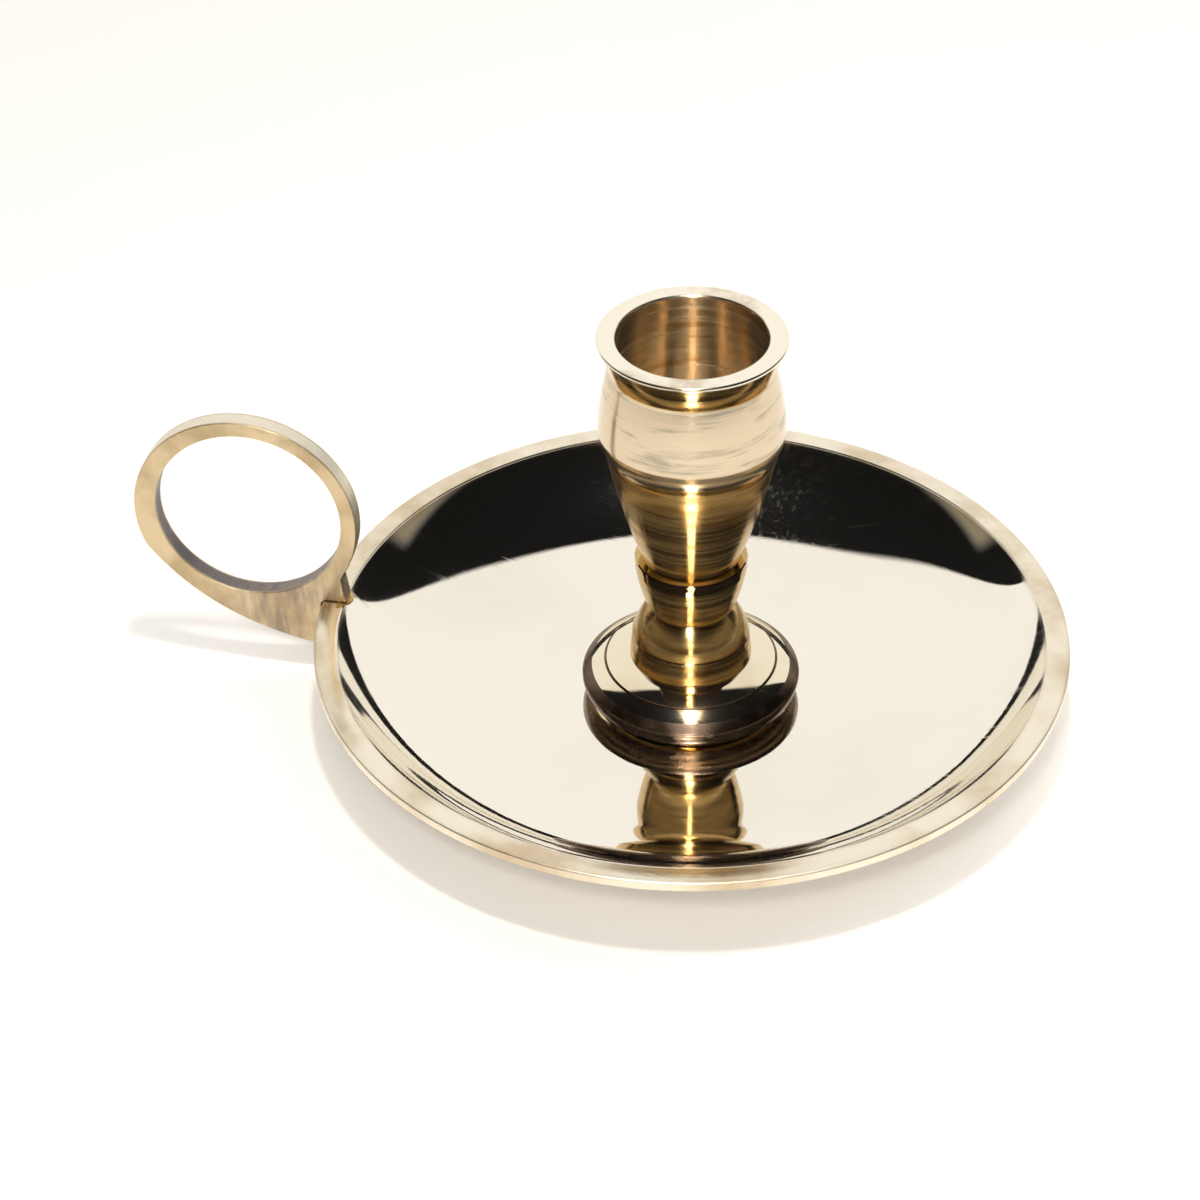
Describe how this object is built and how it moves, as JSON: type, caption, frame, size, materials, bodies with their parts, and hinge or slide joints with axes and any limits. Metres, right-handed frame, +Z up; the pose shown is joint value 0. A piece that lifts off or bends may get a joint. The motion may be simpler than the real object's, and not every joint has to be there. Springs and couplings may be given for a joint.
{
  "type": "candle holder",
  "caption": "Low brass chamberstick: round drip pan with a flat lip, turned stem with a candle cup, and an upright finger ring on the rim.",
  "frame": {"origin": "on the pan's axis, on the surface that the holder stands on", "axes": "+Z up along the stem, -X towards the finger ring, +Y across the ring's plane"},
  "size_m": [0.1425, 0.114, 0.0658],
  "materials": {
    "polished_brass": "mirror polished, turned, with fine scuffs",
    "cast_brass": "cast and filed, satin, tarnished at the root",
    "filler_brass": "dull brazing filler",
    "screw_brass": "satin, slightly tarnished"
  },
  "bodies": {
    "root": {"drip_pan": "polished_brass", "base_knop": "polished_brass", "stem_pedestal": "polished_brass", "candle_cup": "polished_brass", "centre_screw": "screw_brass", "ring_handle": "cast_brass", "handle_braze": "filler_brass"}
  },
  "joints": []
}
